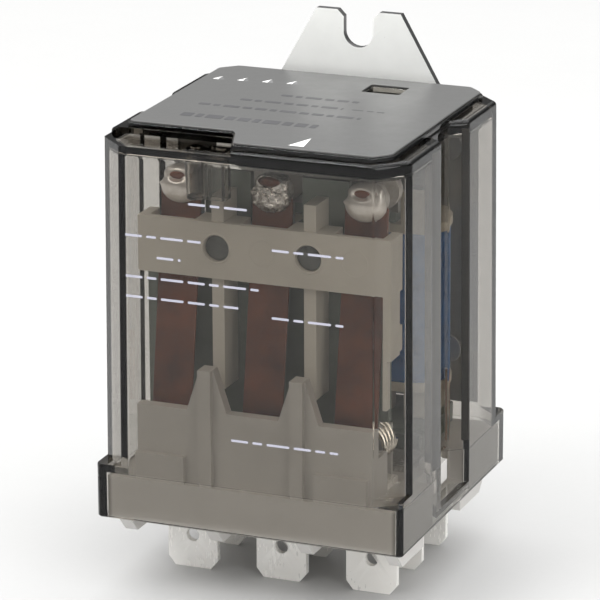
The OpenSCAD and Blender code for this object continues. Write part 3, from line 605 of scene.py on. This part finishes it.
def make_cover():
    bm = bmesh.new()
    levels = []
    for k in range(4):
        angle = math.pi / 2 * k / 3
        z = UNDER_ROOF - 0.5 * (1 - math.sin(math.pi / 2 - angle))
        levels.append((z, CUT, WALL + 0.5 * (1 - math.sin(angle)), True))
    levels += [(SKIRT_H - WALL, CUT, WALL, True), (SKIRT_H - WALL, SMALL_CUT, SKIRT_WALL, True),
               (GROOVE_Z - SKIRT_WALL, SMALL_CUT, SKIRT_WALL, True),
               (GROOVE_Z - SKIRT_WALL, SMALL_CUT, SKIRT_WALL, False),
               (0.12, SMALL_CUT, SKIRT_WALL, False), (0.0, SMALL_CUT, SKIRT_WALL - 0.12, False),
               (0.0, SMALL_CUT, 0.14, False), (0.14, SMALL_CUT, 0.0, False),
               (GROOVE_Z, SMALL_CUT, 0.0, False), (GROOVE_Z, SMALL_CUT, 0.0, True),
               (SKIRT_H - 0.15, SMALL_CUT, 0.0, True), (SKIRT_H, SMALL_CUT + 0.15, 0.0, True),
               (SKIRT_H, CUT, 0.0, True)]
    edge = 0.55
    for k in range(6):
        angle = math.pi / 2 * k / 5
        levels.append((ROOF - edge * (1 - math.sin(angle)), CUT, edge * (1 - math.cos(angle)),
                       True))
    previous = None
    first = None
    for z, cut, inset, grooved in levels:
        verts = ring(bm, [at(x, y, z) for x, y in plan(cut, inset, grooved, scale_at(z))])
        if previous:
            strip(bm, previous, verts)
        previous = verts
        first = first or verts
    bm.faces.new(first)
    bm.faces.new(previous)
    bmesh.ops.remove_doubles(bm, verts=bm.verts, dist=0.002 * MM)
    cover = from_bmesh("cover_shell", bm)
    # Tube and pocket that hang under the shelf
    wall_outline = rectangle(POCKET[0] - POCKET_HALF_X, POCKET[1] - POCKET_HALF_Y,
                             POCKET[0] + POCKET_HALF_X, POCKET[1] + POCKET_HALF_Y)
    hung = [lathe("tool", [(0.9, 0), (1.0, 0.1), (1.25, 5.3)], at(*PEG, WELL_LOW), (0, 0, 1)),
            prism(rounded(wall_outline, 0.2), WELL_LOW, UNDER_ROOF + 0.25, in_plan)]
    combine(cover, hung, "UNION")
    x0, y0, x1, y1 = WINDOW
    tools = [
        prism([(-W - 1, -D - 1), (-1.3, -D - 1), (-1.9, -17.3), (-3.3, -13.3), (-3.9, -12.4),
               (-W - 1, -12.4)], SHELF, ROOF + 1, in_plan),
        box((x0, y0, ROOF - 1), (x1, y1, ROOF + 1)),
        lathe("tool", [(0.7, 0), (0.7, 8)], at(*PEG, WELL_LOW + 0.6), (0, 0, 1)),
        box((POCKET[0] - 0.8, POCKET[1] - 0.5, WELL_LOW - 1),
            (POCKET[0] + 0.8, POCKET[1] + 0.5, UNDER_ROOF - 0.3)),
    ]
    for side in (-1, 1):
        x = side * (W - GROOVE - WALL / 2)
        tools.append(box((x - WALL, -2.8, 2.4), (x + WALL, 2.8, 6.4)))
    combine(cover, tools, "DIFFERENCE")
    add_piece(flat_sides(cover), "smoked", "housing", ["cover"])

    outline = rounded([(15, -17.3), (17, -15.3), (17, 14.7), (15, 16.7), (-15, 16.7),
                       (-17, 14.7), (-17, -12.4), (-3.9, -12.4), (-3.3, -13.3), (-1.9, -17.3)],
                      [0.5, 0.5, 0.5, 0.5, 0.5, 0.5, 0.6, 0.3, 0.8, 0.3])
    window = rounded(rectangle(*WINDOW), 0.25)
    raised = slab("roof_plateau", outline, ROOF + 0.01, ROOF + PLATEAU, in_plan, 0.12, 3, [window])
    add_piece(flat_sides(raised), "smoked", "housing")
    trimmed = rounded([(14.9, -17.05), (16.75, -15.2), (16.75, 14.6), (14.9, 16.45),
                       (-14.9, 16.45), (-16.75, 14.6), (-16.75, -12.15), (-3.75, -12.15),
                       (-3.05, -13.25), (-1.7, -17.05)],
                      [0.6, 0.6, 0.6, 0.6, 0.6, 0.6, 0.6, 0.3, 0.8, 0.3])
    wide_window = rounded(rectangle(*widened(WINDOW, 0.25)), 0.35)
    label = slab("label_top", trimmed, LABEL_LOW.z + 0.01, LABEL_HIGH.z, in_plan, 0.06, 3,
                 [wide_window])
    add_piece(flat_sides(label), "label", "housing", ["label_plate"])
    # The thick, darker parts: the shelf's corner and the tube; near-black plates at the edges and
    # feet of the grooves are painted shade for the dark bands there
    shelf = slab("shelf_tint", rounded([(-16.6, -15.2), (-15.0, -16.7), (-2.2, -16.7),
                                        (-3.6, -13.0), (-16.6, -13.0)], 0.3),
                 UNDER_ROOF + 0.12, SHELF - 0.12, in_plan, 0.08, 2)
    core = lathe("tube_tint", [(0.75, 0), (0.85, 0.15), (1.1, 4.9)], at(*PEG, WELL_LOW + 0.1),
                 (0, 0, 1))
    for piece in (shelf, core):
        add_piece(piece, "smoked_thick", "housing")
    for side in (-1, 1):
        for end, inner_y in ((-1, 6.95), (1, 4.93)):
            bm = bmesh.new()
            rings = []
            for k in range(9):
                z = SKIRT_H + 0.1 + (ROOF - 1.2 - SKIRT_H) * k / 8
                g = scale_at(z)
                rings.append(ring(bm, [at(side * px * g, end * py * g, z) for px, py in
                                       ((EDGE_IN, inner_y), (EDGE_OUT, 4.98),
                                        (EDGE_OUT, 5.07), (EDGE_IN, inner_y + 0.09))]))
            for a, b in zip(rings, rings[1:]):
                strip(bm, a, b)
            bm.faces.new(rings[0])
            bm.faces.new(rings[-1])
            name = f"groove_shade_band_{side_name(side)}_{'front' if end < 0 else 'rear'}"
            add_piece(from_bmesh(name, bm), "edge", "housing")
        # Painted shade: a near-black strip along the foot of each groove.
        ends = sorted((side * SILL_IN, side * SILL_OUT))
        sill = box((ends[0], -SILL_HALF, GROOVE_Z - 0.22), (ends[1], SILL_HALF, GROOVE_Z - 0.08),
                   f"groove_shade_sill_{side_name(side)}")
        add_piece(sill, "edge", "housing")


make_cover()


def bar_row(x0, x1, lengths, gap):
    """Ends of the short bars that stand in for a row of print."""
    x, k, ends = x0, 0, []
    while x < x1 - 0.2:
        end = min(x + lengths[k % len(lengths)], x1)
        ends.append((x, end))
        x = end + gap
        k += 1
    return ends


def make_label_details():
    """A near-black sheet inside the roof under the label as painted shade, four pips with a painted
    lit facet and a painted shaded facet, a white triangle painted as the lit corner of a shallow
    recess, and plain printed bars.
    """
    top = LABEL_HIGH.z
    # Painted shade: a near-black sheet just under the roof's top darkens the roof where it is seen
    # edge-on.
    shade_sheet = slab("roof_shade_sheet", rounded([(16.4, -16.9), (16.4, 16.1), (-16.4, 16.1),
                                             (-16.4, -12.0), (-3.5, -12.0), (-1.6, -16.9)], 0.5),
                   ROOF - 0.12, ROOF - 0.06, in_plan, 0.02, 1,
                   [rounded(rectangle(*widened(WINDOW, 0.4)), 0.2)])
    add_piece(shade_sheet, "shade_sheet", "housing")
    for i in range(4):
        x, y = -14.6 + 3.05 * i, 10.0 + 0.3 * i
        # Painted light: one facet of each pip is painted white as lit, the other dark as shaded.
        for side, material in ((-1, "painted_highlight"), (1, "pip_shade")):
            bm = bmesh.new()
            low = [at(x, y - 0.75, top), at(x + side * 0.75, y - 0.75, top),
                   at(x, y + 0.75, top)]
            peak = at(x, y - 0.2, top + 0.06)
            base = ring(bm, low)
            tip = bm.verts.new(peak)
            bm.faces.new(base)
            for a in range(3):
                bm.faces.new((base[a], base[(a + 1) % 3], tip))
            add_piece(from_bmesh(f"label_pip_{i + 1}_{'a' if side < 0 else 'b'}", bm),
                      material, "housing")
    rows = [(-4.6, 5.2, 4.7, 0.75), (-8.4, 4.5, 1.3, 0.75), (5.6, 9.6, 1.3, 0.3),
            (-12.2, 8.0, -2.2, 0.8), (-12.2, 4.8, -7.3, 1.5)]
    bars = [(a, b, y, height) for x0, x1, y, height in rows
            for a, b in bar_row(x0, x1, (1.4, 0.8, 2.0, 1.1), 0.45)]
    bm = bmesh.new()
    for x0, x1, y, height in bars:
        outline = rounded(rectangle(x0, y - height / 2, x1, y + height / 2), 0.15)
        add_prism(bm, outline, top - 0.01, top + 0.015, in_plan)
    add_piece(from_bmesh("label_print_bars", bm), "ink", "housing")
    # Painted highlight: a white triangle stands for the lit corner of a shallow recess.
    corner = prism([(4.6, -16.0), (6.4, -16.0), (5.9, -12.4)], top - 0.01, top + 0.02, in_plan,
                   "label_recess_corner")
    add_piece(corner, "painted_highlight", "housing")


make_label_details()


PRINT_HALF = 0.14


def make_front_print():
    """Rows of plain pale bars on the front face, in place of print."""
    rows = [(-7.0, 0.7, 39.3), (-14.9, -5.5, 34.9), (3.2, 11.9, 34.9), (-11.0, -8.0, 32.5),
            (-14.9, 1.6, 30.0), (-14.9, -0.9, 27.6), (3.2, 11.9, 26.9), (-1.9, 11.3, 11.6)]
    bm = bmesh.new()
    for x0, x1, z in rows:
        face = -D * scale_at(z)
        for a, b in bar_row(x0, x1, (2.1, 1.2, 2.8), 0.55):
            outline = rounded(rectangle(a, z - PRINT_HALF, b, z + PRINT_HALF), 0.1)
            add_prism(bm, outline, face + 0.01, face - 0.02, in_front)
    add_piece(from_bmesh("front_print_bars", bm), "pale_ink", "housing")


make_front_print()


# ---- Leaves, contacts and spring ----

CONTACT_Z = (local_box("fixed_contact_2")[0].z + local_box("fixed_contact_2")[1].z) / 2
FOOT_LOW, FOOT_HIGH = local_box("leaf_foot_2")
LEAF_LOW, LEAF_HIGH = local_box("contact_leaf_2")
LEAF_T = FOOT_HIGH.y - FOOT_LOW.y
LEAF_HALF = (LEAF_HIGH.x - LEAF_LOW.x) / 2
TIP_Y = LEAF_HIGH.y - LEAF_T
CREASE_Z = 36.9
LEAF_TIP_HALF = 1.75
LEAF_EDGE = 0.07
TAIL_REAR_Y, WIRE_R = -8.9, 0.36


def leaf_front(z):
    """Depth of a leaf's front face at a height, with a soft crease."""
    slope = (TIP_Y - FOOT_LOW.y) / (CREASE_Z - LEAF_LOW.z)
    past = z - CREASE_Z
    soft = 0.8
    if past > soft:
        lean = 0.0
    elif past < -soft:
        lean = past
    else:
        lean = -(soft - past) ** 2 / (4 * soft)
    lean = max(lean, LEAF_LOW.z - CREASE_Z)
    return TIP_Y + slope * lean


def make_leaf(i):
    x = middle_x(f"contact_leaf_{i}")
    count = 56
    stations = [(FOOT_LOW.z + (CONTACT_Z - 0.9 - FOOT_LOW.z) * k / count, LEAF_HALF)
                for k in range(count)]
    for k in range(8):
        share = k / 8
        ease = share * share * (3 - 2 * share)
        stations.append((CONTACT_Z - 0.9 + 0.9 * share,
                         LEAF_HALF + (LEAF_TIP_HALF - LEAF_HALF) * ease))
    for k in range(17):
        angle = math.radians(88) * k / 16
        stations.append((CONTACT_Z + LEAF_TIP_HALF * math.sin(angle),
                         LEAF_TIP_HALF * math.cos(angle)))
    bm = bmesh.new()
    previous = None
    for z, half in stations:
        y = leaf_front(z)
        e = min(LEAF_EDGE, half * 0.4)
        section = [(-half, e), (-half + e, 0), (0, 0), (half - e, 0), (half, e),
                   (half, LEAF_T - e), (half - e, LEAF_T), (0, LEAF_T), (-half + e, LEAF_T),
                   (-half, LEAF_T - e)]
        verts = ring(bm, [at(x + dx, y + dy, z) for dx, dy in section])
        if previous:
            strip(bm, previous, verts)
        else:
            bm.faces.new(verts)
        previous = verts
    bm.faces.new(previous)
    leaf = from_bmesh(f"leaf_strip_{i}", bm)
    leaf.data.materials.append(M["leaf"])
    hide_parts(f"contact_leaf_{i}", f"leaf_foot_{i}")
    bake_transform(leaf)


def ellipsoid(centre, radii, name="tool"):
    bm = bmesh.new()
    bmesh.ops.create_uvsphere(bm, u_segments=32, v_segments=20, radius=1.0)
    for v in bm.verts:
        v.co = at(centre[0] + v.co.x * radii[0], centre[1] + v.co.y * radii[1],
                  centre[2] + v.co.z * radii[2])
    return from_bmesh(name, bm)


def make_contact(i, rough, hollow):
    """A rivet with a solder cap: a bowl under a ring with a hollow, and a round face behind."""
    x = middle_x(f"contact_leaf_{i}")
    y, z = TIP_Y, CONTACT_Z
    cap = ellipsoid((x, y - 0.15, z - 0.55), (2.38, 1.35, 1.95), f"contact_cap_{i}")
    parts = [ellipsoid((x + 0.05, y - 0.1, z + 0.85), (2.1, 1.15, 1.35)),
             ellipsoid((x - 1.95, y - 0.5, z - 0.2), (0.55, 0.35, 0.3)),
             ellipsoid((x + 1.7, y - 0.3, z + 0.2), (0.55, 0.8, 1.5))]
    combine(cap, parts, "UNION")
    combine(cap, [ellipsoid((x - 0.1, y - 1.45, z + hollow), (1.4, 0.95, 0.68)),
                  box((x - 3, y + LEAF_T / 2, z - 4), (x + 3, y + 3, z + 4))], "DIFFERENCE")
    bead = ellipsoid((x + 0.75, y - 0.75, z + hollow - 0.35), (0.33, 0.3, 0.3))
    back = lathe("tool", [(1.0, 0.0), (1.0, LEAF_T), (2.2, LEAF_T), (2.2, 1.4), (2.05, 1.62),
                          (1.6, 1.7)], at(x, y, z), (0, 1, 0))
    combine(cap, [bead, back], "UNION")
    remesh = cap.modifiers.new("melt", "REMESH")
    remesh.mode = "VOXEL"
    remesh.voxel_size = 0.11 * MM
    smooth = cap.modifiers.new("smooth", "SMOOTH")
    smooth.factor = 0.6
    smooth.iterations = 5
    applied(cap, 180)
    if rough:
        for v in cap.data.vertices:
            here = v.co / MM
            lump = noise.fractal(here * 2.4, 0.9, 2.1, 4) if local(v.co).y < y else 0.0
            low = 1.0 if local(v.co).z < z + 0.6 else 0.35
            v.co += v.normal * (lump * rough * low * MM)
    add_piece(cap, "solder" if rough else "contact", f"leaf_{i}",
              [f"moving_contact_{i}"])
    # Painted shade: a dark copper-coloured lens at the back of the hollow darkens it.
    if rough:
        hollow_shade = ellipsoid((x, y - 0.95, z + 1.35), (1.35, 0.45, 0.6), f"contact_hollow_shade_{i}")
    else:
        hollow_shade = ellipsoid((x - 0.1, y - 0.62, z + hollow), (1.22, 0.25, 0.55),
                         f"contact_hollow_shade_{i}")
    add_piece(hollow_shade, "leaf", f"leaf_{i}")


def make_spring():
    low, high = local_box("return_spring")
    wire = WIRE_R
    radius = (high.x - low.x) / 2 - wire
    x, z = (low.x + high.x) / 2, (low.z + high.z) / 2
    front, rear = TAIL_REAR_Y + wire, high.y - wire
    turns, per_turn = 4, 40
    closed = 2 * wire
    path = []
    open_pitch = (rear - front - 1.5 * closed) / (turns - 1.5)
    for k in range(turns * per_turn + 1):
        t = k / per_turn
        first = min(t, 0.75) * closed
        middle = max(min(t, turns - 0.75) - 0.75, 0) * open_pitch
        last = max(t - turns + 0.75, 0) * closed
        angle = 2 * math.pi * t
        path.append(at(x + radius * math.cos(angle), front + first + middle + last,
                       z + radius * math.sin(angle)))
    spring = tube("spring_wire", path, wire, 14)
    spring.data.materials.append(M["spring"])
    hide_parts("return_spring")
    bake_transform(spring)


def make_bar_marks():
    """Rings round the studs and the faint round marks of the mould's ejector pins."""
    bar_front = local_box("carrier")[0].y
    stud_low, stud_high = local_box("carrier_studs")
    z = (stud_low.z + stud_high.z) / 2
    for i, (x, r, w) in enumerate(((-5.7, 1.72, 0.13), (5.7, 1.72, 0.13), (0.0, 1.55, 0.06),
                                   (11.4, 1.55, 0.06))):
        path = [at(x + r * math.cos(2 * math.pi * k / 48), bar_front + w * 0.35,
                   z + r * math.sin(2 * math.pi * k / 48)) for k in range(48)]
        add_piece(tube(f"bar_mark_{i + 1}", path, w, 10, True), "light", "armature_assembly")


make_bar_marks()
for i in (1, 2, 3):
    make_leaf(i)
make_contact(1, 0.0, 0.95)
make_contact(2, 0.22, 1.35)
make_contact(3, 0.0, 0.95)
make_spring()

# ---- Camera, lights and floor ----

AZIMUTH, ELEVATION, ROLL = math.radians(21.79), math.radians(17.39), math.radians(-0.232)
DISTANCE, LENS, SENSOR = 0.4578, 232.57, 36
FLOOR_HALF, FLOOR_GAP = 1.2, 0.00002


def make_stage():
    ground = bmesh.new()
    bmesh.ops.create_grid(ground, x_segments=4, y_segments=4, size=FLOOR_HALF)
    bmesh.ops.translate(ground, verts=ground.verts, vec=(0, 0, cad_low.z - FLOOR_GAP))
    floor = from_bmesh("floor", ground)
    floor.data.materials.append(M["floor"])

    world = bpy.data.worlds.new("studio")
    bpy.context.scene.world = world
    world.use_nodes = True
    tree = world.node_tree
    background = tree.nodes["Background"]
    background.inputs["Strength"].default_value = 1.0
    direction = tree.nodes.new("ShaderNodeTexCoord")
    split = tree.nodes.new("ShaderNodeSeparateXYZ")
    tree.links.new(direction.outputs["Generated"], split.inputs[0])
    rise = tree.nodes.new("ShaderNodeMapRange")
    rise.interpolation_type = "SMOOTHSTEP"
    tree.links.new(split.outputs["Z"], rise.inputs["Value"])
    for name, number in (("From Min", 0.2), ("From Max", 0.9), ("To Min", 0.15),
                         ("To Max", 3.0)):
        rise.inputs[name].default_value = number
    tree.links.new(rise.outputs["Result"], background.inputs["Color"])

    def lamp(name, place, aim, size, power):
        data = bpy.data.lights.new(name, "AREA")
        data.shape = "RECTANGLE"
        data.size, data.size_y = size
        data.energy = power
        light = bpy.data.objects.new(name, data)
        light.location = place
        light.rotation_mode = "QUATERNION"
        light.rotation_quaternion = (Vector(aim) - Vector(place)).to_track_quat("-Z", "Y")
        bpy.context.scene.collection.objects.link(light)

    middle = (0, 0, 0.03)
    lamp("key", (-0.25, -0.32, 0.42), middle, (0.3, 0.3), 1.5)
    lamp("side", (0.17, -0.12, 0.08), (0.01, 0, 0.03), (0.09, 0.12), 0.17)
    lamp("top", (0.05, 0.12, 0.5), middle, (0.4, 0.3), 0.5)
    bpy.context.scene.view_settings.view_transform = "Standard"


def make_camera():
    target = at(-0.488, 0, 23.433)
    back = Vector((math.sin(AZIMUTH) * math.cos(ELEVATION),
                   -math.cos(AZIMUTH) * math.cos(ELEVATION), math.sin(ELEVATION)))
    data = bpy.data.cameras.new("camera")
    data.sensor_width = SENSOR
    data.lens = LENS
    data.clip_start, data.clip_end = 0.01, 10
    camera = bpy.data.objects.new("camera", data)
    camera.location = target + back * DISTANCE
    camera.rotation_mode = "QUATERNION"
    camera.rotation_quaternion = ((-back).to_track_quat("-Z", "Y").to_matrix()
                                  @ Matrix.Rotation(ROLL, 3, "Z")).to_quaternion()
    bpy.context.scene.collection.objects.link(camera)
    bpy.context.scene.camera = camera


make_stage()
make_camera()

# ---- CAD nodes that keep their meshes ----

KEPT = {
    "flange_plate": ("plated", 0.12), "flange_rivets": ("rivet", 0.1), "base": ("grey", 0.12),
    "carrier": ("light", 0.12), "carrier_studs": ("stud", 0.1), "armature": ("iron", 0.1),
    "yoke": ("iron", 0.1), "core": ("iron", 0.1), "pole_piece": ("iron", 0.1),
    "bobbin": ("bobbin", 0.1), "winding": ("copper", 0.1), "coil_tape": ("tape", 0.05),
    "coil_lead_1": ("copper", 0.05), "coil_lead_2": ("copper", 0.05),
}
for i in (1, 2, 3):
    KEPT[f"common_terminal_{i}"] = ("blade", 0.12)
    KEPT[f"fixed_terminal_{i}"] = ("arm", 0.12)
    KEPT[f"fixed_contact_{i}"] = ("contact", 0.1)
for i in (1, 2):
    KEPT[f"coil_terminal_{i}"] = ("blade", 0.12)

for node, (material, width) in KEPT.items():
    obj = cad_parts[node]
    obj.data.materials.clear()
    obj.data.materials.append(M[material])
    if "custom_normal" in obj.data.attributes:
        obj.data.attributes.remove(obj.data.attributes["custom_normal"])
    for polygon in obj.data.polygons:
        polygon.use_smooth = True
    bevelled(obj, width)
